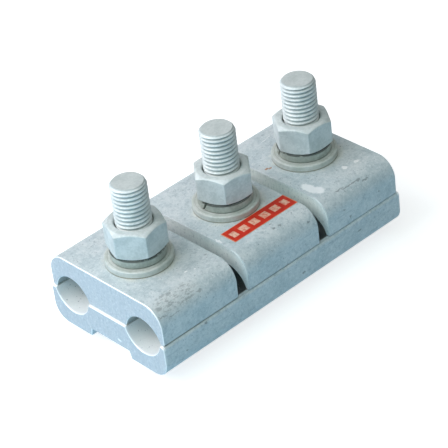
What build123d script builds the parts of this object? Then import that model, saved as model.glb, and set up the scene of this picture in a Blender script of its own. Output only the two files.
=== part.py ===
from build123d import *
from math import cos, radians, sin, sqrt, tan
import os

# Three-bolt parallel groove clamp, closed on empty grooves, in millimetres.
# X runs along the two conductors, Y across them and Z up. The origin is the middle of the clamp
# on the surface it stands on, which the three bolt heads touch. The bar's feet are clear of it.

# Lower body, an extruded aluminium bar that reaches a little past the first and last keeper
body_overhang = 1.1
body_width = 72.4
body_height = 16.9
body_foot_radius = 8.0
body_rim_radius = 1.6
body_groove_depth = 8.7

# Keepers, sawn from a second extrusion. The first lies a little to one side on its bolt
keeper_length = 43.2
keeper_set_back = 0.4
keeper_height = 17.5
keeper_gap = 6.2
keeper_shoulder_radius = 9.5
keeper_rim_radius = 0.8
keeper_groove_depth = 8.4
keeper_sideways = [0.4, 0.2, 0.2]

# Conductor grooves, an arc in the body that faces an arc in the keeper
groove_radius = 11.0
groove_spacing = 45.5
groove_lip_radius = 0.6

# Channel under the body, whose walls keep the bolt heads from turning
channel_depth = 3.9
channel_flare = 1.0
channel_head_clearance = 0.15

# Saw-cut ends, and bolt holes drilled a little off the middles of the keepers
end_chamfer = 0.35
bolt_hole_clearance = 1.0
drill_drift = [-0.5, 1.3, 1.1]

# Bolts, drawn at the outer diameter of their threads
bolt_diameter = 16.0
bolt_length = 70.0
bolt_tip_chamfer = 1.2
head_height = 10.0

# Hexagons of the nuts and bolt heads
across_flats = 24.0
hexagon_land_diameter = 22.8
hexagon_chamfer_angle = 30.0

# Nuts
nut_height = 13.0
nut_thread_clearance = 0.05
nut_countersink = 0.9

# Flat washers
flat_washer_diameter = 30.0
flat_washer_thickness = 3.0
flat_washer_clearance = 0.5
flat_washer_edge_chamfer = 0.5

# Spring washers, pressed flat by the tight nuts
spring_washer_wall = 4.1
spring_washer_thickness = 4.1
spring_washer_clearance = 0.2
spring_washer_split = 1.4
spring_washer_lean = 25.0

# How each nut and each split stands when tight, in degrees about +Z
nut_turns = [9.0, 50.0, 57.0]
split_turns = [60.0, 180.0, 160.0]

# Sticker on the second keeper, beside its washer
label_width = 9.2
label_washer_gap = 0.2
label_near_margin = 4.9
label_far_margin = 0.5
label_thickness = 0.15

# Heights and places that follow from the sizes above
feet_z = head_height - channel_depth
parting_z = feet_z + body_height
keeper_top_z = parting_z + keeper_height
spring_washer_z = keeper_top_z + flat_washer_thickness
nut_z = spring_washer_z + spring_washer_thickness
keeper_pitch = keeper_length + keeper_gap
keeper_places = [-keeper_pitch, 0.0, keeper_pitch]
keeper_width = body_width - 2 * keeper_set_back
body_length = 2 * (keeper_places[-1] + keeper_length / 2 + body_overhang)
bolt_places = [middle + drift for middle, drift in zip(keeper_places, drill_drift)]
bolt_hole_radius = bolt_diameter / 2 + bolt_hole_clearance

os.makedirs("parts", exist_ok=True)


# Cuts both groove arcs into a section and rounds the lips where they meet the parting face
def cut_grooves(section, middle, arc_centre_z):
    groove_places = [middle - groove_spacing / 2, middle + groove_spacing / 2]
    with Locations(*[(place, arc_centre_z) for place in groove_places]):
        Circle(groove_radius, mode=Mode.SUBTRACT)
    on_parting_face = section.vertices().filter_by(lambda corner: abs(corner.Y - parting_z) < 0.001)
    lips = on_parting_face.filter_by(
        lambda corner: min(abs(corner.X - place) for place in groove_places) < groove_radius
    )
    fillet(lips, groove_lip_radius)


# Lower body: a bar with round feet, the lower groove arcs in its top and the channel underneath
with BuildPart() as lower_body:
    with BuildSketch(Plane.YZ.offset(-body_length / 2)) as body_section:
        with Locations((0, feet_z)):
            Rectangle(body_width, body_height, align=(Align.CENTER, Align.MIN))
        fillet(body_section.vertices().group_by(Axis.Y)[0], body_foot_radius)
        fillet(body_section.vertices().group_by(Axis.Y)[-1], body_rim_radius)
        cut_grooves(body_section, 0, parting_z - body_groove_depth + groove_radius)
        with BuildLine():
            ceiling = across_flats / 2 + channel_head_clearance
            Polyline(
                (-ceiling, feet_z + channel_depth),
                (ceiling, feet_z + channel_depth),
                (ceiling + channel_flare, feet_z),
                (-ceiling - channel_flare, feet_z),
                close=True,
            )
        make_face(mode=Mode.SUBTRACT)
    extrude(amount=body_length)
    chamfer(lower_body.faces().sort_by(Axis.X)[0].edges(), end_chamfer)
    chamfer(lower_body.faces().sort_by(Axis.X)[-1].edges(), end_chamfer)
    with Locations(*[(x, 0, parting_z) for x in bolt_places]):
        Hole(bolt_hole_radius)

lower_body.part.label = "lower_body"
export_step(lower_body.part, "parts/lower_body.step")

# Keepers: round-shouldered blocks with the upper groove arcs in their undersides
keepers = []
for number, middle in enumerate(keeper_places, start=1):
    sideways = keeper_sideways[number - 1]
    with BuildPart() as keeper:
        with BuildSketch(Plane.YZ.offset(middle - keeper_length / 2)) as keeper_section:
            with Locations((sideways, parting_z)):
                Rectangle(keeper_width, keeper_height, align=(Align.CENTER, Align.MIN))
            fillet(keeper_section.vertices().group_by(Axis.Y)[-1], keeper_shoulder_radius)
            fillet(keeper_section.vertices().group_by(Axis.Y)[0], keeper_rim_radius)
            cut_grooves(keeper_section, sideways, parting_z + keeper_groove_depth - groove_radius)
        extrude(amount=keeper_length)
        chamfer(keeper.faces().sort_by(Axis.X)[0].edges(), end_chamfer)
        chamfer(keeper.faces().sort_by(Axis.X)[-1].edges(), end_chamfer)
        with Locations((bolt_places[number - 1], sideways, keeper_top_z)):
            Hole(bolt_hole_radius)
    keeper.part.label = f"keeper_{number}"
    export_step(keeper.part, f"parts/{keeper.part.label}.step")
    keepers.append(keeper.part)


# Hexagon blank about a vertical axis, with its lower face, or both faces, chamfered to a round land
def hexagon_blank(centre, height, turn, chamfer_top):
    land = hexagon_land_diameter / 2
    reach = across_flats / sqrt(3) + 1
    drop = (reach - land) * tan(radians(hexagon_chamfer_angle))
    with BuildPart() as blank:
        with BuildSketch(Plane(centre)):
            RegularPolygon(across_flats / 2, 6, major_radius=False, rotation=turn)
        extrude(amount=height)
        with BuildSketch(Plane(centre, x_dir=(1, 0, 0), z_dir=(0, -1, 0))):
            with BuildLine():
                Polyline((0, height), (0, 0), (land, 0), (reach, drop))
                if chamfer_top:
                    Polyline((reach, drop), (reach, height - drop), (land, height), (0, height))
                else:
                    Polyline((reach, drop), (reach, height), (0, height))
            make_face()
        revolve(axis=Axis(centre, (0, 0, 1)), mode=Mode.INTERSECT)
    return blank.part


# Flat washers: stamped rings with a bevelled upper edge
for number, x in enumerate(bolt_places, start=1):
    with BuildPart() as flat_washer:
        with BuildSketch(Plane((x, 0, keeper_top_z))):
            Circle(flat_washer_diameter / 2)
            Circle(bolt_diameter / 2 + flat_washer_clearance, mode=Mode.SUBTRACT)
        extrude(amount=flat_washer_thickness)
        rim = flat_washer.edges().group_by(Axis.Z)[-1].sort_by(SortBy.RADIUS)[-1]
        chamfer(rim, flat_washer_edge_chamfer)
    flat_washer.part.label = f"flat_washer_{number}"
    export_step(flat_washer.part, f"parts/{flat_washer.part.label}.step")

# Spring washers: square-section rings, cut through by one leaning split
for number, x in enumerate(bolt_places, start=1):
    bore_radius = bolt_diameter / 2 + spring_washer_clearance
    split_angle = radians(split_turns[number - 1])
    split_plane = Plane(
        (x, 0, spring_washer_z + spring_washer_thickness / 2),
        x_dir=(-sin(split_angle), cos(split_angle), 0),
        z_dir=(cos(split_angle), sin(split_angle), 0),
    )
    with BuildPart() as spring_washer:
        with BuildSketch(Plane((x, 0, spring_washer_z))):
            Circle(bore_radius + spring_washer_wall)
            Circle(bore_radius, mode=Mode.SUBTRACT)
        extrude(amount=spring_washer_thickness)
        with BuildSketch(split_plane):
            Rectangle(spring_washer_split, 2 * spring_washer_thickness, rotation=spring_washer_lean)
        extrude(amount=bore_radius + 2 * spring_washer_wall, mode=Mode.SUBTRACT)
    spring_washer.part.label = f"spring_washer_{number}"
    export_step(spring_washer.part, f"parts/{spring_washer.part.label}.step")

# Nuts: hexagons with a countersink at both ends of the bore
for number, x in enumerate(bolt_places, start=1):
    nut_blank = hexagon_blank((x, 0, nut_z), nut_height, nut_turns[number - 1], chamfer_top=True)
    with BuildPart() as nut:
        add(nut_blank)
        with Locations((x, 0, nut_z)):
            Hole(bolt_diameter / 2 + nut_thread_clearance)
        bore_ends = nut.edges().filter_by(GeomType.CIRCLE).sort_by(SortBy.RADIUS)[:2]
        chamfer(bore_ends, nut_countersink)
    nut.part.label = f"nut_{number}"
    export_step(nut.part, f"parts/{nut.part.label}.step")

# Bolts: heads down, two flats of each head along the channel, shanks up through bar and keeper
for number, x in enumerate(bolt_places, start=1):
    head_blank = hexagon_blank((x, 0, 0), head_height, turn=0, chamfer_top=False)
    with BuildPart() as bolt:
        add(head_blank)
        with Locations((x, 0, head_height)):
            Cylinder(bolt_diameter / 2, bolt_length, align=(Align.CENTER, Align.CENTER, Align.MIN))
        chamfer(bolt.edges().filter_by(GeomType.CIRCLE).sort_by(Axis.Z)[-1], bolt_tip_chamfer)
    bolt.part.label = f"bolt_{number}"
    export_step(bolt.part, f"parts/{bolt.part.label}.step")

# Label: a sticker on the second keeper that follows its top and the start of its shoulder
with BuildPart() as label:
    label_start = keeper_places[1] - keeper_length / 2 + label_near_margin
    label_edge = -flat_washer_diameter / 2 - label_washer_gap
    with BuildSketch(Plane.YZ.offset(label_start)) as label_section:
        with Locations((keeper_sideways[1], parting_z)):
            Rectangle(
                keeper_width + 2 * label_thickness,
                keeper_height + label_thickness,
                align=(Align.CENTER, Align.MIN),
            )
        fillet(label_section.vertices().group_by(Axis.Y)[-1], keeper_shoulder_radius + label_thickness)
        with Locations((label_edge, keeper_top_z)):
            Rectangle(label_width, keeper_height, align=(Align.MAX, Align.CENTER), mode=Mode.INTERSECT)
    extrude(amount=keeper_length - label_near_margin - label_far_margin)
    add(keepers[1], mode=Mode.SUBTRACT)

label.part.label = "label"
export_step(label.part, "parts/label.step")
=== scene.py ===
# %% [markdown]
# # A three-bolt parallel groove clamp
# The clamp joins two overhead conductors that run side by side. A grooved aluminium bar lies below,
# three grooved keepers lie on it, and each keeper is pulled down by a galvanised bolt with its
# nut, spring washer and flat washer. The CAD model gives the sizes and the places, and this script
# gives the threads, the rounded edges, the finishes, the light and the camera.

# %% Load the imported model
from math import atan2, cos, pi, radians, sin, tan

import bmesh
import bpy
from mathutils import Matrix, Vector


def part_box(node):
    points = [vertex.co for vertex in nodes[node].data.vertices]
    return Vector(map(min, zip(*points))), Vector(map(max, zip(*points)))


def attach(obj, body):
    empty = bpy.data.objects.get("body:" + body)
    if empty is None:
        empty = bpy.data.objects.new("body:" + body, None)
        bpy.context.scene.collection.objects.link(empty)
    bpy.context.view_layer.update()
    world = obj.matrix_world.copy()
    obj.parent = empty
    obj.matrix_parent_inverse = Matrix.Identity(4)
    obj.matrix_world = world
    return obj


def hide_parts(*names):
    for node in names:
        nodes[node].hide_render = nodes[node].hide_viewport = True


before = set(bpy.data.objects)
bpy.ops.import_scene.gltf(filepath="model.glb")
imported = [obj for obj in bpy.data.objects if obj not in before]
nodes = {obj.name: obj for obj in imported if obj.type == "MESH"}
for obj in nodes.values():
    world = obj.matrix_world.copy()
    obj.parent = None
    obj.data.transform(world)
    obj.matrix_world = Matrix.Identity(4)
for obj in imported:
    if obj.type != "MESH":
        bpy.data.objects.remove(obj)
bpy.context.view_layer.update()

MM = 0.001
scene = bpy.context.scene
bolt_numbers = (1, 2, 3)

# %% [markdown]
# ## Where the pieces are
# On the real clamp a keeper, two washers and a nut sit on each bolt, each on the one below it. The
# places could be typed in again here, but then this script and the CAD model could drift apart.
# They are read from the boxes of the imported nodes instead: the axis of a bolt is the middle of its
# box, and heights come from the washers and the nut above the keeper.

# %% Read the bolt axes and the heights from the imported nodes
bolt_axes = {}
for number in bolt_numbers:
    low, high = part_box(f"bolt_{number}")
    bolt_axes[number] = Vector(((low.x + high.x) / 2, (low.y + high.y) / 2, 0))
flat_washer_low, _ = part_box("flat_washer_1")
spring_washer_low, spring_washer_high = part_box("spring_washer_1")
nut_low, nut_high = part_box("nut_1")
bolt_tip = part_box("bolt_1")[1].z
print("bolt axes at x", [round(axis.x / MM, 2) for axis in bolt_axes.values()])
print("nut from", round(nut_low.z / MM, 2), "to", round(nut_high.z / MM, 2))
print("bolt tip at", round(bolt_tip / MM, 2))

# %% [markdown]
# ## Node trees written as sums
# The threads, the split washers and all the finishes are made by trees of nodes. Each node could be
# added and linked by itself, which takes several lines for one sum. The class below holds one
# socket instead, and Python's operators on it add Math nodes, so a tree reads like a formula. Every
# other node comes from one method, which sets the node's own settings before its sockets.


# %% A socket that can be calculated with
class Wire:
    def __init__(self, socket):
        self.socket = socket
        self.tree = socket.id_data

    @staticmethod
    def node(tree, kind, settings=None, sockets=None, output=0):
        made = tree.nodes.new(kind)
        for name, value in (settings or {}).items():
            setattr(made, name, value)
        for key, value in (sockets or {}).items():
            if isinstance(value, Wire):
                tree.links.new(value.socket, made.inputs[key])
            else:
                made.inputs[key].default_value = value
        return Wire(made.outputs[output]) if len(made.outputs) else made

    def math(self, operation, *values):
        return Wire.node(self.tree, "ShaderNodeMath", {"operation": operation}, dict(enumerate(values)))

    def __add__(self, other):
        return self.math("ADD", self, other)

    def __sub__(self, other):
        return self.math("SUBTRACT", self, other)

    def __rsub__(self, other):
        return self.math("SUBTRACT", other, self)

    def __mul__(self, other):
        return self.math("MULTIPLY", self, other)

    def __truediv__(self, other):
        return self.math("DIVIDE", self, other)

    def __rtruediv__(self, other):
        return self.math("DIVIDE", other, self)

    def __pow__(self, other):
        return self.math("POWER", self, other)

    __radd__ = __add__
    __rmul__ = __mul__

    def least(self, other):
        return self.math("MINIMUM", self, other)

    def most(self, other):
        return self.math("MAXIMUM", self, other)

    def size(self):
        return self.math("ABSOLUTE", self)

    def fraction(self):
        return self.math("FRACT", self)

    def cosine(self):
        return self.math("COSINE", self)

    def sine(self):
        return self.math("SINE", self)

    def step(self, low, high):
        sockets = {"Value": self, "From Min": low, "From Max": high}
        return Wire.node(self.tree, "ShaderNodeMapRange", {"interpolation_type": "SMOOTHSTEP"}, sockets)


def mixed(factor, first, second):
    settings = {"data_type": "RGBA", "clamp_factor": True}
    return Wire.node(factor.tree, "ShaderNodeMix", settings, {0: factor, 6: first, 7: second}, output=2)


def parts_of(vector):
    made = Wire.node(vector.tree, "ShaderNodeSeparateXYZ", None, {0: vector})
    return [Wire(output) for output in made.socket.node.outputs]


def vector_math(operation, first, *others, output="Vector"):
    sockets = dict(enumerate((first, *others)))
    return Wire.node(first.tree, "ShaderNodeVectorMath", {"operation": operation}, sockets, output)


# %% [markdown]
# ## Shapes from a tree
# Screw threads and wound washers follow a rule. They could be modelled turn by turn in mesh code,
# but a Geometry Nodes tree states the rule once and serves every bolt. A tree gets named sizes, and
# the object that it grew is turned into a plain mesh before anything else is done to it.


# %% Helpers that start a geometry tree and turn its result into a mesh
def new_geometry_tree(name, sizes):
    tree = bpy.data.node_groups.new(name, "GeometryNodeTree")
    for label, kind in sizes.items():
        tree.interface.new_socket(name=label, in_out="INPUT", socket_type=f"NodeSocket{kind}")
    tree.interface.new_socket(name="Geometry", in_out="OUTPUT", socket_type="NodeSocketGeometry")
    group_input = tree.nodes.new("NodeGroupInput")
    wires = {label: Wire(group_input.outputs[label]) for label in sizes}
    return tree, wires


def end_geometry_tree(tree, shape, material):
    real = Wire.node(tree, "GeometryNodeRealizeInstances", None, {"Geometry": shape})
    painted = Wire.node(tree, "GeometryNodeSetMaterial", None, {"Geometry": real, "Material": material})
    Wire.node(tree, "NodeGroupOutput", None, {"Geometry": painted})


def add_object(name, mesh):
    made = bpy.data.objects.new(name, mesh)
    scene.collection.objects.link(made)
    return made


def grow(name, tree, sizes):
    blank = add_object(name, bpy.data.meshes.new(name))
    modifier = blank.modifiers.new("shape", "NODES")
    modifier.node_group = tree
    for item in tree.interface.items_tree:
        if item.in_out == "INPUT":
            modifier[item.identifier] = sizes[item.name]
    depsgraph = bpy.context.evaluated_depsgraph_get()
    mesh = bpy.data.meshes.new_from_object(
        blank.evaluated_get(depsgraph), preserve_all_data_layers=True, depsgraph=depsgraph
    )
    bpy.data.objects.remove(blank)
    return mesh


# %% [markdown]
# ## Helpers for the finishes
# Extruded, sawn and dipped metal has no two spots alike. Its look could come from pictures, but
# noise on Object coordinates needs no unwrapping, has no seams and sits still on its piece. A finish
# is a Principled shader whose colour, roughness and bump come from such noise. A constant goes
# straight onto the shader.


# %% Start and end of a material, coordinates and noise
def new_material(name):
    material = bpy.data.materials.new(name)
    material.use_nodes = True
    material.node_tree.nodes.clear()
    return material, material.node_tree


def coordinates(tree, output="Object", stretch=(1, 1, 1), shift=(0, 0, 0)):
    raw = Wire.node(tree, "ShaderNodeTexCoord", None, None, output)
    if stretch == (1, 1, 1) and shift == (0, 0, 0):
        return raw
    return Wire.node(tree, "ShaderNodeMapping", None, {"Vector": raw, "Scale": stretch, "Location": shift})


def noise(tree, vector, per_metre, detail=2.0, roughness=0.5):
    sockets = {"Vector": vector, "Scale": per_metre, "Detail": detail, "Roughness": roughness}
    return Wire.node(tree, "ShaderNodeTexNoise", None, sockets)


def raised(tree, height, strength, distance):
    sockets = {"Strength": strength, "Distance": distance, "Height": height}
    return Wire.node(tree, "ShaderNodeBump", None, sockets)


def finish_material(tree, constants, varying):
    shader = tree.nodes.new("ShaderNodeBsdfPrincipled")
    for name, value in constants.items():
        shader.inputs[name].default_value = value
    for name, wire in varying.items():
        tree.links.new(wire.socket, shader.inputs[name])
    Wire.node(tree, "ShaderNodeOutputMaterial", None, {"Surface": Wire(shader.outputs[0])})


# Mask of soft ellipsoids. Each spot is its middle and its half lengths, all in millimetres
def marks(place, spots):
    total = None
    for middle, half in spots:
        away = vector_math("SUBTRACT", place, [value * MM for value in middle])
        scaled = vector_math("DIVIDE", away, [value * MM for value in half])
        mask = vector_math("LENGTH", scaled, output="Value").step(1.15, 0.75)
        total = mask if total is None else total.most(mask)
    return total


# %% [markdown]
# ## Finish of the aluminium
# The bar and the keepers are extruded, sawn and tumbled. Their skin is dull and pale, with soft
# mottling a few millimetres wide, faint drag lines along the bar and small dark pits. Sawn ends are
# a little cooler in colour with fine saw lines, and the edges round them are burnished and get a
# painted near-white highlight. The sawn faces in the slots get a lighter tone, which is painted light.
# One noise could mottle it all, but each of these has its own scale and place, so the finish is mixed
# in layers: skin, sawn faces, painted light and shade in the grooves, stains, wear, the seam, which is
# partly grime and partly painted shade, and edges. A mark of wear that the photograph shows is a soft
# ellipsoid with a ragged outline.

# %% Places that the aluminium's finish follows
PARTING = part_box("lower_body")[1].z
KEEPER_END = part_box("keeper_1")[0].x
GROOVE_RADIUS = 11.0 * MM
GROOVE_MIDDLE = 22.75 * MM
GROOVE_LIP = 0.4 * MM
GROOVE_SHADE_START, GROOVE_SHADE_FULL = 20 * MM, 42 * MM
STAIN_EDGE, STAIN_FULL = 18.5 * MM, 15.5 * MM
SEAM_EDGE, SEAM_FULL = 0.35 * MM, 0.1 * MM
LIP_START, LIP_FULL = -KEEPER_END - 0.15 * MM, -KEEPER_END + 0.05 * MM
RAGGED_BY = 0.8 * MM
WASHER_UNDER = {"keeper_1": 1, "keeper_2": 2, "keeper_3": 3}
END_PIECES = ("lower_body", "keeper_1")
print("parting face at", round(PARTING / MM, 2), "first keeper starts at", round(KEEPER_END / MM, 2))

# %% Marks of wear on each piece
SCUFFS = {
    "lower_body": [((45.3, -36.2, 16.9), (1.2, 2, 0.5)), ((9.7, -36.2, 14.6), (1.0, 2, 0.5)),
                   ((-48, -36.2, 21.9), (0.8, 2, 0.7)), ((-60, -36.2, 15.0), (0.7, 2, 0.4))],
    "keeper_1": [((-62.1, -27.3, 40.4), (1.6, 0.6, 1.5)), ((-59.4, -28.1, 40.2), (1.4, 0.5, 1.5)),
                 ((-51.8, -28.4, 40.2), (1.2, 0.4, 1.5)), ((-47.0, -33.3, 37.0), (1.5, 1, 0.5)),
                 ((-53.5, -33.4, 36.9), (2.2, 1, 0.4)), ((-67.7, -31.4, 38.7), (1.2, 1, 0.5)),
                 ((-61.9, -32.1, 38.2), (2.0, 1, 0.4)), ((-62.6, -34.6, 34.8), (3.5, 1, 0.25)),
                 ((-30.6, -20.5, 40.5), (0.6, 0.4, 1)), ((-68.0, -33.9, 36.2), (2.5, 1, 0.25))],
    "keeper_2": [((1.8, -26.7, 40.5), (0.8, 0.4, 1)), ((1.3, -29.5, 39.9), (0.9, 0.6, 1)),
                 ((4.6, -29.6, 39.8), (1.0, 0.5, 1)), ((17.4, -34.1, 36.2), (0.9, 1, 0.4))],
    "keeper_3": [((40.1, -30.8, 39.2), (2.5, 0.3, 1)), ((46.0, -31.4, 38.8), (6.0, 0.3, 0.5)),
                 ((51.5, -31.6, 38.7), (1.4, 0.5, 1)), ((54.7, -32.8, 37.8), (2.2, 0.5, 0.5)),
                 ((41.2, -35.6, 26.6), (0.6, 1, 0.6)), ((37.9, -35.6, 31.8), (0.7, 1, 0.4)),
                 ((59.8, -35.6, 29.8), (0.6, 1, 0.4))],
}
SMEARS = {
    "lower_body": [((-72.1, -6.5, 13.3), (1, 1.2, 0.7))],
    "keeper_1": [((-44.4, -22.8, 40.5), (0.9, 0.4, 1)), ((-40.5, -24.5, 40.5), (0.7, 0.4, 1))],
    "keeper_2": [((-20.5, -18.0, 40.5), (0.8, 2.0, 1))],
    "keeper_3": [((31.9, -21.2, 40.5), (2.5, 5.2, 1)), ((33.4, -25.0, 40.4), (2.4, 3.1, 1)),
                 ((32.4, -18.0, 40.5), (1.3, 1.6, 1)), ((53.2, -21.9, 40.5), (1.4, 1.5, 1)),
                 ((60.1, -22.7, 40.5), (1.7, 1.0, 1)),
                 ((47.2, 22.7, 40.5), (2.2, 0.2, 1)), ((50.6, 23.6, 40.5), (1.4, 0.2, 1))],
}
RUST = {"keeper_3": [((31.4, 5.3, 40.5), (1.1, 0.7, 1)), ((32.9, 4.4, 40.5), (1.0, 0.5, 1))]}
ROUGH_PATCH = {"keeper_1": [((-58.0, -30.5, 38.5), (12, 5, 4.5))]}
print("scuffs:", {node: len(spots) for node, spots in SCUFFS.items()})

# %% Colours of the aluminium
ALUMINIUM = {
    "cool skin": (0.50, 0.58, 0.60, 1),
    "pale skin": (0.60, 0.66, 0.67, 1),
    "pale spot": (0.70, 0.74, 0.75, 1),
    "dark spot": (0.36, 0.44, 0.47, 1),
    "drag line": (0.30, 0.38, 0.42, 1),
    "pale mottle": (0.76, 0.79, 0.80, 1),
    "dark mottle": (0.34, 0.41, 0.44, 1),
    "stain": (0.72, 0.71, 0.62, 1),
    "pit": (0.18, 0.23, 0.26, 1),
    "fleck": (0.78, 0.81, 0.81, 1),
    "rough patch": (0.60, 0.60, 0.56, 1),
    "scuff": (0.17, 0.20, 0.21, 1),
    "smear": (0.88, 0.90, 0.90, 1),
    "rust": (0.40, 0.20, 0.10, 1),
    "near seam grime and shade": (0.20, 0.17, 0.14, 1),
    "far seam grime and shade": (0.26, 0.32, 0.36, 1),
}
# Sawn faces: the ends' tones are the metal's own, the lighter tones in the slots are painted light
SAWN_TONES_AND_SLOT_LIGHT = {
    "end": ((0.50, 0.55, 0.59, 1), (0.54, 0.58, 0.61, 1)),
    "slot": ((0.78, 0.85, 0.82, 1), (0.83, 0.89, 0.86, 1)),
}
# Edge colours: a painted near-white highlight at the ends, a darker tone on the chamfers in the slots
EDGE_TONES_AND_HIGHLIGHT = {"end": (0.93, 0.94, 0.94, 1), "slot": (0.42, 0.47, 0.47, 1)}
EDGE_STRENGTHS = {"end": 1.0, "slot": 0.8}
# Painted light and shade in the grooves: each pair is the tone near the ends, then the painted shade further
# in. The bar's tone near the ends is painted light, the keepers' is painted shade
BAR_GROOVE_PAINTED_LIGHT_AND_SHADE = ((0.93, 0.95, 0.93, 1), (0.24, 0.28, 0.27, 1))
KEEPER_GROOVE_PAINTED_SHADE = ((0.36, 0.40, 0.40, 1), (0.04, 0.07, 0.06, 1))


# %% Noise of the skin, the saw and the tumbling
def aluminium_patterns(tree, shift):
    own = coordinates(tree, shift=shift)
    drawn = coordinates(tree, stretch=(0.06, 1, 1), shift=shift)
    cut_down = coordinates(tree, stretch=(1, 1, 0.12), shift=shift)
    return {
        "broad": noise(tree, own, 75, detail=4, roughness=0.6),
        "small": noise(tree, own, 380, detail=4, roughness=0.65),
        "grain": noise(tree, own, 1900, detail=2),
        "drag lines": noise(tree, drawn, 700, detail=3),
        "saw lines": noise(tree, cut_down, 900, detail=2),
        "mottle": noise(tree, own, 850, detail=3, roughness=0.7),
        "pits": noise(tree, own, 1100, detail=1).step(0.31, 0.25),
        "flecks": noise(tree, own, 1500, detail=2).step(0.60, 0.70),
    }


# %% Skin, and burnished edges with a painted highlight
def aluminium_skin(pattern, facing_z):
    small, lines = pattern["small"], pattern["drag lines"]
    skin = mixed(pattern["broad"].step(0.38, 0.62), ALUMINIUM["cool skin"], ALUMINIUM["pale skin"])
    skin = mixed(small.step(0.50, 0.72) * 0.55, skin, ALUMINIUM["pale spot"])
    skin = mixed(small.step(0.48, 0.30) * 0.6, skin, ALUMINIUM["dark spot"])
    return mixed(lines.step(0.58, 0.75) * 0.35 * (1 - facing_z.size()), skin, ALUMINIUM["drag line"])


# Burnish and a painted highlight on the chamfers of the sawn ends, and a painted highlight on the strips of
# the bar's top that stand beyond the outer keepers
def edge_burnish_and_highlight(node, x, facing_x, facing_z, sawn):
    burnish_and_highlight = facing_x.size().step(0.25, 0.45) * (1 - sawn)
    if node == "lower_body":
        lip_highlight = x.size().step(LIP_START, LIP_FULL) * facing_z.step(-0.2, 0.3)
        burnish_and_highlight = burnish_and_highlight.most(lip_highlight * (1 - sawn))
    return burnish_and_highlight


# %% Painted light and shade in the grooves, stains and the seam
# Painted light and shade in a groove: it gets darker with the distance from either end, as its opening does
# in the photograph
def groove_painted_light_and_shade(colour, node, x, y, z, sawn):
    from_groove = ((y.size() - GROOVE_MIDDLE) ** 2 + (z - PARTING) ** 2) ** 0.5
    bore = from_groove.step(GROOVE_RADIUS + GROOVE_LIP, GROOVE_RADIUS) * (1 - sawn)
    painted_near_tone, painted_deep_shade = BAR_GROOVE_PAINTED_LIGHT_AND_SHADE if node == "lower_body" else KEEPER_GROOVE_PAINTED_SHADE
    deep = (-KEEPER_END - x.size()).step(GROOVE_SHADE_START, GROOVE_SHADE_FULL)
    return mixed(bore * 0.85, colour, mixed(deep, painted_near_tone, painted_deep_shade))


def washer_stain(colour, node, x, y, facing_z, broad):
    axis = bolt_axes[WASHER_UNDER[node]]
    from_axis = ((x - axis.x) ** 2 + (y - axis.y) ** 2) ** 0.5
    stain = from_axis.step(STAIN_EDGE, STAIN_FULL) * facing_z.step(0.8, 0.95) * broad.step(0.35, 0.60)
    return mixed(stain * 0.45, colour, ALUMINIUM["stain"])


# The dark line where bar and keepers meet, partly grime and partly painted shade between the parts, which
# fades towards the far end
def seam_grime_and_shade(colour, x, z, facing_y):
    along = x.step(KEEPER_END, -KEEPER_END)
    seam = (z - PARTING).size().step(SEAM_EDGE, SEAM_FULL) * facing_y.size().step(0.1, 0.4)
    seam_colour = mixed(along, ALUMINIUM["near seam grime and shade"], ALUMINIUM["far seam grime and shade"])
    return mixed(seam * (0.5 - along * 0.35), colour, seam_colour)


# %% Scuffs, smears and rust with ragged outlines
def ragged_place(tree, place):
    sockets = {"Vector": place, "Scale": 900.0, "Detail": 2.0}
    wander = Wire.node(tree, "ShaderNodeTexNoise", None, sockets, "Color")
    moved = vector_math("MULTIPLY_ADD", wander, (2 * RAGGED_BY,) * 3, place)
    return vector_math("SUBTRACT", moved, (RAGGED_BY,) * 3)


def worn(colour, tree, node, place):
    ragged = ragged_place(tree, place)
    dents = marks(ragged, SCUFFS[node])
    if node in ROUGH_PATCH:
        patch = marks(ragged, ROUGH_PATCH[node])
        colour = mixed(patch * 0.15, colour, ALUMINIUM["rough patch"])
        broken = noise(tree, coordinates(tree, stretch=(0.34, 1, 1)), 1400, detail=4, roughness=0.65)
        dents = (dents * 0.75).most(patch * broken.step(0.48, 0.40) * 0.75)
    colour = mixed(dents * 0.62, colour, ALUMINIUM["scuff"])
    colour = mixed(marks(ragged, SMEARS[node]) * 0.9, colour, ALUMINIUM["smear"])
    if node in RUST:
        colour = mixed(marks(ragged, RUST[node]) * 0.9, colour, ALUMINIUM["rust"])
    return colour, dents


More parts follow.
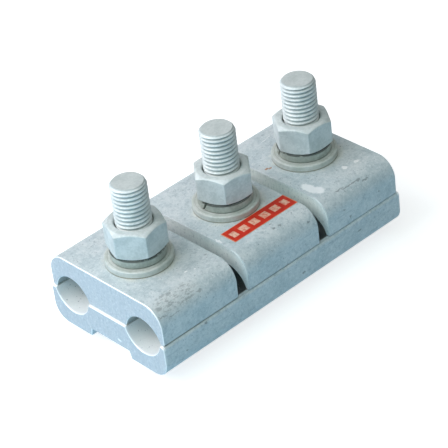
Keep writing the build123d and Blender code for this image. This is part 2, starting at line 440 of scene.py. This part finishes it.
# %% Dull aluminium, from its skin up to its edges
def dull_aluminium(node, shift):
    material, tree = new_material(f"aluminium_{node}")
    pattern = aluminium_patterns(tree, shift)
    place = coordinates(tree)
    x, y, z = parts_of(place)
    facing_x, facing_y, facing_z = parts_of(coordinates(tree, "Normal"))
    sawn = facing_x.size().step(0.90, 0.97)
    kind = "end" if node in END_PIECES else "slot"
    mottle = pattern["mottle"]
    pits = pattern["pits"] * (1 - sawn)

    # Sawn faces, with painted light on those in the slots
    sawn_tone_and_slot_light = mixed(pattern["saw lines"].step(0.35, 0.65), *SAWN_TONES_AND_SLOT_LIGHT[kind])
    colour = mixed(sawn, aluminium_skin(pattern, facing_z), sawn_tone_and_slot_light)
    colour = mixed(mottle.step(0.52, 0.70) * 0.5, colour, ALUMINIUM["pale mottle"])
    colour = mixed(mottle.step(0.47, 0.30) * 0.5, colour, ALUMINIUM["dark mottle"])
    # Painted light and shade in the grooves
    colour = groove_painted_light_and_shade(colour, node, x, y, z, sawn)
    if node in WASHER_UNDER:
        colour = washer_stain(colour, node, x, y, facing_z, pattern["broad"])
    colour = mixed(pits * 0.6, colour, ALUMINIUM["pit"])
    colour = mixed(pattern["flecks"] * (1 - sawn) * 0.45, colour, ALUMINIUM["fleck"])
    colour, dents = worn(colour, tree, node, place)
    # Seam of grime and painted shade
    colour = seam_grime_and_shade(colour, x, z, facing_y)
    # Burnish and painted highlight on the edges
    burnish_and_highlight = edge_burnish_and_highlight(node, x, facing_x, facing_z, sawn)
    colour = mixed(burnish_and_highlight * EDGE_STRENGTHS[kind], colour, EDGE_TONES_AND_HIGHLIGHT[kind])

    height = pattern["broad"] * 0.35 + pattern["small"] * 0.30 + pattern["grain"] * 0.10
    height = height + pattern["drag lines"] * 0.15 - pits * 0.25 - dents * 0.8
    rough = pattern["small"] * 0.2 + 0.42 - burnish_and_highlight * 0.1
    finish_material(
        tree, {"Metallic": 0.15, "Specular IOR Level": 0.3},
        {"Base Color": colour, "Roughness": rough, "Normal": raised(tree, height, 0.4, 0.4 * MM)},
    )
    return material


# %% The bar and each keeper get the finish with a pattern of their own
PATTERN_SHIFTS = {
    "lower_body": (0, 0, 0),
    "keeper_1": (0.31, 0.17, 0),
    "keeper_2": (0.62, 0.34, 0),
    "keeper_3": (0.93, 0.51, 0),
}
for node, shift in PATTERN_SHIFTS.items():
    nodes[node].data.materials.clear()
    nodes[node].data.materials.append(dull_aluminium(node, shift))
    print(node, "is dull aluminium with", len(SCUFFS[node]), "scuffs")

# %% [markdown]
# ## Finish of the galvanised steel
# Bolts, nuts and washers are dipped in molten zinc. The zinc rounds the edges a little and dulls to a
# mottled grey. The roots of the threads, a thin line under each bolt's tip chamfer, the bolts' flat
# ends and the nuts' bores get painted shade. Pointiness could find the roots, but its strength changes
# with how fine a mesh is. The pieces carry an attribute instead, which says how dark each point is, and
# which marks a pressed ring on the flat washers. Lines at given heights darken where the washers meet
# other pieces: under each nut a painted shadow of the nut, elsewhere partly grime and partly painted shade.


# %% Hot-dip galvanised steel
def galvanised_steel(name, pale, dark, shade_and_ring_colour, shade_and_ring_strength, grime_and_shade_lines=()):
    material, tree = new_material(name)
    place = coordinates(tree)
    broad = noise(tree, place, 160, detail=3, roughness=0.6)
    small = noise(tree, place, 900, detail=3, roughness=0.6)
    grain = noise(tree, place, 3600, detail=2)
    mottled = mixed((broad * 0.6 + small * 0.4).step(0.38, 0.62), dark, pale)
    shade_and_ring = Wire.node(tree, "ShaderNodeAttribute", {"attribute_name": "painted_shade_and_ring"}, None, "Fac")
    colour = mixed(shade_and_ring.step(0.35, 1.0) * shade_and_ring_strength, mottled, shade_and_ring_colour)
    _, _, z = parts_of(place)
    # Lines at given heights: grime and painted shade where pieces meet
    for height, reach, strength, line_colour in grime_and_shade_lines:
        line = (z - height).size().step(reach, reach * 0.4) * broad.step(0.30, 0.45)
        colour = mixed(line * strength, colour, line_colour)
    bump = raised(tree, small * 0.5 + grain * 0.2, 0.3, 0.3 * MM)
    rough = small * 0.2 + 0.48
    finish_material(
        tree, {"Metallic": 0.15, "Specular IOR Level": 0.35},
        {"Base Color": colour, "Roughness": rough, "Normal": bump},
    )
    return material


# The shade-and-ring colours are painted shade in the thread roots, the bolts' flat ends and the nuts' bores,
# and a pressed ring on the flat washers
bolt_zinc = galvanised_steel(
    "zinc_bolt", pale=(0.76, 0.79, 0.78, 1), dark=(0.60, 0.64, 0.63, 1),
    shade_and_ring_colour=(0.24, 0.29, 0.28, 1), shade_and_ring_strength=0.65,
)
nut_zinc = galvanised_steel(
    "zinc_nut", pale=(0.67, 0.71, 0.70, 1), dark=(0.53, 0.58, 0.57, 1),
    shade_and_ring_colour=(0.10, 0.12, 0.11, 1), shade_and_ring_strength=0.8,
)
# The line at each flat washer's lower face is partly grime and partly painted shade where it meets the
# keeper
washer_zinc = galvanised_steel(
    "zinc_washer", pale=(0.58, 0.61, 0.58, 1), dark=(0.46, 0.50, 0.46, 1),
    shade_and_ring_colour=(0.25, 0.26, 0.22, 1), shade_and_ring_strength=0.5,
    grime_and_shade_lines=[(flat_washer_low.z, 0.7 * MM, 0.75, (0.20, 0.19, 0.13, 1))],
)
# Under each nut a painted shadow of the nut, and at each spring washer's lower face a line that is partly
# grime and partly painted shade
spring_zinc = galvanised_steel(
    "zinc_spring", pale=(0.46, 0.50, 0.45, 1), dark=(0.33, 0.36, 0.32, 1),
    shade_and_ring_colour=(0.10, 0.10, 0.09, 1), shade_and_ring_strength=0.5,
    grime_and_shade_lines=[(spring_washer_high.z, 1.1 * MM, 0.9, (0.05, 0.06, 0.055, 1)),
           (spring_washer_low.z, 0.7 * MM, 0.7, (0.10, 0.11, 0.09, 1))],
)
print("zinc finishes:", [zinc.name for zinc in (bolt_zinc, nut_zinc, washer_zinc, spring_zinc)])

# %% [markdown]
# ## Threads
# A thread is a groove that climbs one pitch with every turn. A Screw modifier could wind its
# section, but the ends would stay open and would have to be joined to the shank by hand. The tree
# bends a flat grid round the bolt instead: one side of the grid becomes the turn and the other the
# height, and the distance from the axis rises and falls with the height less the turn. A cone takes
# the last ridge down to the bolt's flat end, and the grid's last rows close that end.

# %% The tree that wraps a grid into a threaded shank
GROOVE_SHARPNESS = 1.3
FADE_TURNS = 1.5
TIP_LINE_DROP, TIP_LINE_REACH, WALL_REACH = 0.15, 0.5, 0.1
TIP_SHADE = 0.66
thread_tree, sizes = new_geometry_tree(
    "threaded_shank",
    {"Middle": "Vector", "Start": "Float", "Length": "Float", "Radius": "Float", "Pitch": "Float",
     "Depth": "Float", "Chamfer": "Float", "Around": "Int", "Rows": "Int"},
)
grid = Wire.node(
    thread_tree, "GeometryNodeMeshGrid", None,
    {"Size X": 1.0, "Size Y": 1.0, "Vertices X": sizes["Around"], "Vertices Y": sizes["Rows"]},
)
across, along, _ = parts_of(Wire.node(thread_tree, "GeometryNodeInputPosition"))
turn = across + 0.5
travel = (along + 0.5) * (sizes["Length"] + sizes["Radius"])
rise = travel.least(sizes["Length"])
inward = (travel - sizes["Length"]).most(0.0)
ridge = (rise / sizes["Pitch"] - turn) * 2 * pi
groove = (0.5 - ridge.cosine() * 0.5) ** GROOVE_SHARPNESS
fade = (rise / (sizes["Pitch"] * FADE_TURNS)).least(1.0)
wall = sizes["Radius"] - sizes["Depth"] * groove * fade
cone = sizes["Radius"] - sizes["Chamfer"] + (sizes["Length"] - rise)
reach = (wall.least(cone) - inward).most(0.0)
# Painted shade: the thread's roots, a thin line just under the tip's chamfer and the flat end are darkened
# through the attribute
below_tip = (sizes["Length"] - rise - sizes["Chamfer"] * TIP_LINE_DROP).size()
wall_only = 1 - (inward / (sizes["Chamfer"] * WALL_REACH)).least(1.0)
tip_shade_line = (1 - below_tip / (sizes["Chamfer"] * TIP_LINE_REACH)).most(0.0)
painted_thread_shade = (groove * fade * wall_only).most(tip_shade_line).most((1 - wall_only) * TIP_SHADE)
angle = turn * 2 * pi
rim = Wire.node(
    thread_tree, "ShaderNodeCombineXYZ", None,
    {0: reach * angle.cosine(), 1: reach * angle.sine(), 2: sizes["Start"] + rise},
)
moved = vector_math("ADD", rim, sizes["Middle"])
marked = Wire.node(
    thread_tree, "GeometryNodeStoreNamedAttribute", {"data_type": "FLOAT", "domain": "POINT"},
    {"Geometry": grid, "Name": "painted_shade_and_ring", "Value": painted_thread_shade},
)
wrapped = Wire.node(thread_tree, "GeometryNodeSetPosition", None, {"Geometry": marked, "Position": moved})
closed = Wire.node(thread_tree, "GeometryNodeMergeByDistance", None, {"Geometry": wrapped, "Distance": 1e-6})
smooth = Wire.node(thread_tree, "GeometryNodeSetShadeSmooth", None, {"Geometry": closed})
end_geometry_tree(thread_tree, smooth, bolt_zinc)
print("thread tree nodes:", len(thread_tree.nodes))

# %% [markdown]
# ## Hexagons
# A nut is a hexagonal bar whose ends are turned to a cone, which leaves a round land and six curved
# corners. A Boolean of a prism and a cone gives that shape too, but with uneven faces that a bevel
# follows badly. Rows of points give even ones: seen from the axis, the wall at any angle is the
# flat's distance, and the cone cuts the wall lower where the wall stands further out.


# %% Helper that lofts rows of points round an axis
AROUND = 96
HEX_FLATS = 24 * MM
HEX_LAND = 11.4 * MM
HEX_SLOPE = tan(radians(30))


def flat_distance(angle, turn):
    return HEX_FLATS / 2 / cos((angle - turn) % (pi / 3) - pi / 6)


def loft(name, rows, close_loop):
    shape = bmesh.new()
    rings = [[shape.verts.new(point) for point in row] for row in rows]
    pairs = list(zip(rings, rings[1:])) + ([(rings[-1], rings[0])] if close_loop else [])
    for lower, upper in pairs:
        for k in range(len(lower)):
            following = (k + 1) % len(lower)
            shape.faces.new((lower[k], lower[following], upper[following], upper[k]))
    if not close_loop:
        shape.faces.new(list(reversed(rings[0])))
    for face in shape.faces:
        face.smooth = True
    mesh = bpy.data.meshes.new(name)
    shape.to_mesh(mesh)
    shape.free()
    return mesh


def circle(radius, height, middle, turn=0.0):
    angles = [turn + 2 * pi * k / AROUND for k in range(AROUND)]
    return [(middle.x + radius * cos(angle), middle.y + radius * sin(angle), height) for angle in angles]


def hexagon_edge(middle, turn, height_at):
    row = []
    for k in range(AROUND):
        angle = turn + 2 * pi * k / AROUND
        distance = flat_distance(angle, turn)
        drop = (distance - HEX_LAND) * HEX_SLOPE
        row.append((middle.x + distance * cos(angle), middle.y + distance * sin(angle), height_at(drop)))
    return row


def soften(piece, width, segments=2, limit=20):
    bevel = piece.modifiers.new("rounded edges", "BEVEL")
    bevel.width, bevel.segments, bevel.angle_limit = width, segments, radians(limit)
    weights = piece.modifiers.new("even shading", "WEIGHTED_NORMAL")
    weights.keep_sharp, weights.weight = True, 80
    depsgraph = bpy.context.evaluated_depsgraph_get()
    piece.data = bpy.data.meshes.new_from_object(
        piece.evaluated_get(depsgraph), preserve_all_data_layers=True, depsgraph=depsgraph
    )
    piece.modifiers.clear()


def sharpen(piece, limit=35):
    piece.data.shade_smooth()
    piece.data.set_sharp_from_angle(angle=radians(limit))


# %% [markdown]
# ## Bolts
# Each bolt stands head down, with two flats of its head along the channel under the bar. The head
# and the plain shank have no thread, so the tree isn't needed for them: they are lofted, and then
# welded to the threaded end, because two meshes that only touch would leave an open edge. The flat
# end is shaded flat, and the rest smooth. The tip is made a thousandth of a millimetre short,
# because without that the finished bolt came out just above the CAD model's box.

# %% Three bolts
THREAD_LENGTH = 38 * MM
THREAD_START = bolt_tip - THREAD_LENGTH
THREAD_PITCH = 2 * MM
THREAD_DEPTH = 1.0 * MM
THREAD_ROWS = 346
TIP_CHAMFER = 1.2 * MM
TIP_SLACK = 0.001 * MM
SHANK_RADIUS = 8 * MM
HEAD_HEIGHT = 10 * MM
HEAD_ROUNDING = 0.3 * MM
WELD_REACH = 0.002 * MM
FLAT_END_DEPTH = 0.01 * MM
BOLT_SHARP_ANGLE = 40

for number, axis in bolt_axes.items():
    threaded = grow(f"thread_{number}", thread_tree, {
        "Middle": axis, "Start": THREAD_START, "Length": bolt_tip - THREAD_START - TIP_SLACK,
        "Radius": SHANK_RADIUS, "Pitch": THREAD_PITCH, "Depth": THREAD_DEPTH, "Chamfer": TIP_CHAMFER,
        "Around": AROUND + 1, "Rows": THREAD_ROWS,
    })
    rows = [
        circle(HEX_LAND, 0, axis),
        hexagon_edge(axis, 0, lambda drop: drop),
        hexagon_edge(axis, 0, lambda drop: HEAD_HEIGHT),
        circle(SHANK_RADIUS, HEAD_HEIGHT, axis),
        circle(SHANK_RADIUS, THREAD_START, axis),
    ]
    bolt = add_object(f"bolt_{number}_steel", loft("head", rows, close_loop=False))
    soften(bolt, HEAD_ROUNDING)
    whole = bmesh.new()
    whole.from_mesh(threaded)
    whole.from_mesh(bolt.data)
    bmesh.ops.remove_doubles(whole, verts=whole.verts, dist=WELD_REACH)
    whole.to_mesh(bolt.data)
    whole.free()
    bolt.data.materials.clear()
    bolt.data.materials.append(bolt_zinc)
    sharpen(bolt, BOLT_SHARP_ANGLE)
    for face in bolt.data.polygons:
        face.use_smooth = face.center.z < bolt_tip - FLAT_END_DEPTH
    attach(bolt, "lower_body")
    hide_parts(f"bolt_{number}")
    print(bolt.name, "faces", len(bolt.data.polygons))

# %% [markdown]
# ## Nuts
# Each nut stands at an angle of its own, as it stopped when it was tightened. The angles could be
# copied from the CAD source, but the mesh of the node holds them: the direction of the point
# furthest from the axis is a corner. The bore gets painted shade through the attribute, and a wide
# bevel rounds the edges as thick zinc does.

# %% Three nuts
NUT_BORE = 8.05 * MM
COUNTERSINK = 0.9 * MM
NUT_ROUNDING = 0.7 * MM


def corner_direction(node, axis):
    points = [point.co - axis for point in nodes[node].data.vertices]
    furthest = max(points, key=lambda point: point.x ** 2 + point.y ** 2)
    return atan2(furthest.y, furthest.x)


for number, axis in bolt_axes.items():
    low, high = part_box(f"nut_{number}")
    turn = corner_direction(f"nut_{number}", axis)
    print("nut", number, "turned", round(turn * 180 / pi % 60, 1), "degrees")
    rows = [
        circle(NUT_BORE, low.z + COUNTERSINK, axis, turn),
        circle(NUT_BORE + COUNTERSINK, low.z, axis, turn),
        circle(HEX_LAND, low.z, axis, turn),
        hexagon_edge(axis, turn, lambda drop: low.z + drop),
        hexagon_edge(axis, turn, lambda drop: high.z - drop),
        circle(HEX_LAND, high.z, axis, turn),
        circle(NUT_BORE + COUNTERSINK, high.z, axis, turn),
        circle(NUT_BORE, high.z - COUNTERSINK, axis, turn),
    ]
    nut = add_object(f"nut_{number}_steel", loft("nut", rows, close_loop=True))
    soften(nut, NUT_ROUNDING, segments=3)
    # Painted shade in the bore and its countersink
    shade = nut.data.attributes.new("painted_shade_and_ring", "FLOAT", "POINT")
    for point, value in zip(nut.data.vertices, shade.data):
        value.value = float((point.co - axis).xy.length < NUT_BORE + 0.7 * COUNTERSINK)
    nut.data.materials.append(nut_zinc)
    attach(nut, f"nut_{number}")
    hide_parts(f"nut_{number}")

# %% [markdown]
# ## Flat washers
# A washer is stamped from sheet. The punch draws the upper edge round and leaves the lower edge
# square. A bevelled cylinder would round both alike, so the section is drawn as points and turned
# round the bolt's axis. The photograph shows faint rings on the washers. One is made by three close
# rows of points, the middle one with a darker attribute.

# %% Three flat washers
WASHER_RADIUS = 15 * MM
WASHER_BORE = 8.5 * MM
PUNCH_ROUNDING = 0.6 * MM
ROUNDING_STEPS = 4
PRESSED_RING = (13.9 * MM, 13.5 * MM, 13.1 * MM)
RING_REACH = 0.05 * MM

for number, axis in bolt_axes.items():
    low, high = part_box(f"flat_washer_{number}")
    section = [(WASHER_BORE, low.z), (WASHER_RADIUS, low.z)]
    for k in range(ROUNDING_STEPS + 1):
        angle = pi / 2 * k / ROUNDING_STEPS
        inset, drop = PUNCH_ROUNDING * (1 - cos(angle)), PUNCH_ROUNDING * (1 - sin(angle))
        section.append((WASHER_RADIUS - inset, high.z - drop))
    section += [(radius, high.z) for radius in (*PRESSED_RING, WASHER_BORE)]
    rows = [circle(radius, height, axis) for radius, height in section]
    washer = add_object(f"flat_washer_{number}_steel", loft("washer", rows, close_loop=True))
    shade = washer.data.attributes.new("painted_shade_and_ring", "FLOAT", "POINT")
    for point, value in zip(washer.data.vertices, shade.data):
        from_ring = abs((point.co - axis).xy.length - PRESSED_RING[1])
        value.value = float(from_ring < RING_REACH and point.co.z > low.z + RING_REACH)
    washer.data.materials.append(washer_zinc)
    sharpen(washer)
    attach(washer, f"keeper_{number}")
    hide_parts(f"flat_washer_{number}")

# %% [markdown]
# ## Spring washers
# A spring washer is a square wire wound into one turn and cut. It could be a ring with a slot cut
# out by a Boolean, but that leaves uneven faces round the slot. The tree sweeps a rounded square
# along an arc that stops short of a full turn, and leans every section, so that the two ends face
# each other across a slanting cut. The nuts hold these washers pressed flat.

# %% The tree that winds a split ring
RING_POINTS = 97
CORNER_POINTS = 3
split_tree, sizes = new_geometry_tree(
    "split_ring",
    {"Middle": "Vector", "Radius": "Float", "Wire": "Float", "Rounding": "Float", "Split": "Float",
     "Direction": "Float", "Lean": "Float"},
)
gap = sizes["Split"] / sizes["Radius"]
arc = Wire.node(
    split_tree, "GeometryNodeCurveArc", {"mode": "RADIUS"},
    {"Resolution": RING_POINTS, "Radius": sizes["Radius"], "Start Angle": sizes["Direction"] + gap * 0.5,
     "Sweep Angle": 2 * pi - gap},
)
square = Wire.node(
    split_tree, "GeometryNodeCurvePrimitiveQuadrilateral", None,
    {"Width": sizes["Wire"], "Height": sizes["Wire"]},
)
section = Wire.node(
    split_tree, "GeometryNodeFilletCurve", {"mode": "POLY"},
    {"Curve": square, "Radius": sizes["Rounding"], "Count": CORNER_POINTS},
)
ring = Wire.node(
    split_tree, "GeometryNodeCurveToMesh", None, {"Curve": arc, "Profile Curve": section, "Fill Caps": True}
)
place = Wire.node(split_tree, "GeometryNodeInputPosition")
lean = parts_of(place)[2] * sizes["Lean"] / sizes["Radius"]
leaning = Wire.node(
    split_tree, "ShaderNodeVectorRotate", {"rotation_type": "Z_AXIS"}, {"Vector": place, "Angle": lean}
)
moved = vector_math("ADD", leaning, sizes["Middle"])
placed = Wire.node(split_tree, "GeometryNodeSetPosition", None, {"Geometry": ring, "Position": moved})
end_geometry_tree(split_tree, placed, spring_zinc)

# %% Three spring washers
SPRING_BORE = 8.2 * MM
SPRING_WIRE = 4.1 * MM
SPRING_ROUNDING = 0.5 * MM
SPRING_SPLIT = 0.9 * MM
SPRING_LEAN = tan(radians(25))
split_turns = {1: 60, 2: 180, 3: 160}

for number, axis in bolt_axes.items():
    low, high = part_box(f"spring_washer_{number}")
    mesh = grow(f"spring_{number}", split_tree, {
        "Middle": axis + Vector((0, 0, (low.z + high.z) / 2)), "Radius": SPRING_BORE + SPRING_WIRE / 2,
        "Wire": SPRING_WIRE, "Rounding": SPRING_ROUNDING, "Split": SPRING_SPLIT,
        "Direction": radians(split_turns[number]), "Lean": SPRING_LEAN,
    })
    washer = add_object(f"spring_washer_{number}_steel", mesh)
    sharpen(washer)
    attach(washer, f"keeper_{number}")
    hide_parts(f"spring_washer_{number}")
    print(washer.name, "faces", len(mesh.polygons))

# %% [markdown]
# ## Sticker
# A thin red sticker lies on the second keeper beside its washer, which is the CAD model's own thin
# solid. Its print could be small meshes laid on top, but those would stand proud and flicker, so it
# is part of the material, worked out from the place across and along the sticker. It is left plain:
# a few worn pale bars and a pale edge, with no words or marks.


# %% Red sticker with plain pale bars
BAR_COUNT = 6
STICKER = {
    "deep red": (0.52, 0.020, 0.006, 1),
    "bright red": (0.64, 0.032, 0.010, 1),
    "bar": (0.90, 0.66, 0.48, 1),
    "edge": (0.88, 0.42, 0.22, 1),
}


def sticker_print():
    material, tree = new_material("red_sticker")
    x, y, _ = parts_of(coordinates(tree))
    low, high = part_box("label")
    along = (x - low.x) / (high.x - low.x)
    over = (y - low.y) / (high.y - low.y)
    band = (over - 0.5).size().step(0.24, 0.20)
    pitch = (along * BAR_COUNT).fraction()
    bars = (pitch - 0.5).size().step(0.34, 0.30) * (along - 0.5).size().step(0.45, 0.44)
    worn_away = noise(tree, coordinates(tree), 900, detail=3)
    mask = band * bars * (worn_away.step(0.35, 0.60) * 0.45 + 0.30)
    edge = (over - 0.5).size().step(0.465, 0.485).most((along - 0.5).size().step(0.485, 0.492))
    shade = noise(tree, coordinates(tree), 300, detail=2)
    red = mixed(shade.step(0.3, 0.7), STICKER["deep red"], STICKER["bright red"])
    colour = mixed(mask, red, STICKER["bar"])
    colour = mixed(edge * 0.55, colour, STICKER["edge"])
    bump = raised(tree, shade, 0.15, 0.1 * MM)
    finish_material(
        tree, {"Roughness": 0.6, "Specular IOR Level": 0.3}, {"Base Color": colour, "Normal": bump}
    )
    return material


nodes["label"].data.materials.clear()
nodes["label"].data.materials.append(sticker_print())

# %% [markdown]
# ## Floor and world
# The photograph shows the clamp on plain white. A strong lamp could bleach the floor, but it would
# bleach the clamp too. So the camera's rays, and those in reflections and through glass, see a
# lifted floor and a white world. All the other rays see a cool floor that bounces light up on the
# sides, and a world that is nearly black. The floor still shows the clamp's shadow.


# %% Rays that show the background
def shown_rays(tree):
    path = Wire.node(tree, "ShaderNodeLightPath").socket.node
    camera, glossy, through = (
        Wire(path.outputs[name]) for name in ("Is Camera Ray", "Is Glossy Ray", "Is Transmission Ray")
    )
    return camera.most(glossy).most(through)


# %% Pale floor
FLOOR_REACH = 4.0
BOUNCE, SHOWN_FLOOR = (0.32, 0.66, 0.88, 1), (0.6, 0.6, 0.6, 1)
NO_LIFT, SHOWN_LIFT = (0, 0, 0, 1), (0.74, 0.74, 0.74, 1)
corners = [(-1, -1), (1, -1), (1, 1), (-1, 1)]
floor_mesh = bpy.data.meshes.new("floor")
floor_mesh.from_pydata([(x * FLOOR_REACH, y * FLOOR_REACH, 0) for x, y in corners], [], [(0, 1, 2, 3)])
floor = add_object("floor", floor_mesh)
floor_material, floor_tree = new_material("pale_floor")
shown = shown_rays(floor_tree)
finish_material(
    floor_tree, {"Roughness": 1.0, "Specular IOR Level": 0.0, "Emission Strength": 1.0},
    {"Base Color": mixed(shown, BOUNCE, SHOWN_FLOOR), "Emission Color": mixed(shown, NO_LIFT, SHOWN_LIFT)},
)
floor.data.materials.append(floor_material)
print("floor reaches", FLOOR_REACH, "m to each side")

# %% White world with little light of its own
HIDDEN_GLOW = 0.02
world = bpy.data.worlds.new("soft_room")
scene.world = world
world.use_nodes = True
world.node_tree.nodes.clear()
seen = shown_rays(world.node_tree)
room_colour = mixed(seen, (0.48, 1.0, 0.85, 1), (1, 1, 1, 1))
glow = Wire.node(
    world.node_tree, "ShaderNodeBackground", None,
    {"Color": room_colour, "Strength": seen * (1 - HIDDEN_GLOW) + HIDDEN_GLOW},
)
Wire.node(world.node_tree, "ShaderNodeOutputWorld", None, {"Surface": glow})
print("world nodes:", len(world.node_tree.nodes))

# %% [markdown]
# ## Camera
# The photograph looks down at the clamp's near left corner, with a long lens and a slight tilt. A
# Track To constraint could aim the camera, but it always keeps it level. The camera's three axes are
# worked out instead, from its azimuth, elevation and roll, and put into its matrix.

# %% Camera at the photograph's angle
CAMERA_AZIMUTH, CAMERA_ELEVATION, CAMERA_ROLL = radians(-39.58), radians(34.47), radians(-7.43)
CAMERA_DISTANCE = 0.924
CAMERA_LENS, SENSOR_WIDTH = 167.7, 36
CLIP_START, CLIP_END = 0.01, 20
CAMERA_TARGET = Vector((3.16, 5.64, 26.1)) * MM
back = Vector((
    sin(CAMERA_AZIMUTH) * cos(CAMERA_ELEVATION),
    -cos(CAMERA_AZIMUTH) * cos(CAMERA_ELEVATION),
    sin(CAMERA_ELEVATION),
))
level = Vector((cos(CAMERA_AZIMUTH), sin(CAMERA_AZIMUTH), 0))
upright = back.cross(level)
right = level * cos(CAMERA_ROLL) + upright * sin(CAMERA_ROLL)
up = upright * cos(CAMERA_ROLL) - level * sin(CAMERA_ROLL)
camera_data = bpy.data.cameras.new("camera")
camera_data.sensor_width = SENSOR_WIDTH
camera_data.lens = CAMERA_LENS
camera_data.clip_start, camera_data.clip_end = CLIP_START, CLIP_END
camera = add_object("camera", camera_data)
camera.matrix_world = Matrix.Translation(CAMERA_TARGET + back * CAMERA_DISTANCE) @ Matrix(
    (right, up, back)
).transposed().to_4x4()
scene.camera = camera
scene.view_settings.view_transform = "Standard"
print("camera at", [round(value, 3) for value in camera.location])

# %% [markdown]
# ## Lamps
# The photograph has soft light, most of it from the left and from behind. A bright world could give
# soft light too, but from all sides alike, and the threads and the nuts' sides would lose their
# shade. Five large square lamps are placed round the clamp, as far as soft boxes stand. Their powers
# were chosen by comparing patches of the render with the photograph, at a level at which a colour
# renders about as it is written.


# %% Soft lamps
LAMP_DISTANCE = 0.9


def soft_lamp(name, direction, size, watts, colour):
    direction = Vector(direction)
    data = bpy.data.lights.new(name, "AREA")
    data.shape, data.size, data.energy, data.color = "SQUARE", size, watts, colour
    lamp = add_object(name, data)
    lamp.location = CAMERA_TARGET + direction.normalized() * LAMP_DISTANCE
    lamp.rotation_euler = direction.to_track_quat("Z", "Y").to_euler()
    print("lamp", name, "gives", watts, "W")


soft_lamp("key", (-0.94, 0.34, 1.0), size=0.6, watts=5.4, colour=(1.0, 0.93, 0.96))
soft_lamp("near_key", (-0.94, -0.34, 1.0), size=0.6, watts=2.3, colour=(0.86, 1.0, 0.97))
soft_lamp("back", (-0.3, 0.7, 0.9), size=0.6, watts=2.7, colour=(0.80, 0.88, 1.0))
soft_lamp("front", (0.0, -0.7, 1.0), size=0.6, watts=1.3, colour=(0.85, 1.0, 0.97))
soft_lamp("low", (-1, -0.2, 0.2), size=0.5, watts=1.0, colour=(0.1, 0.65, 1.0))
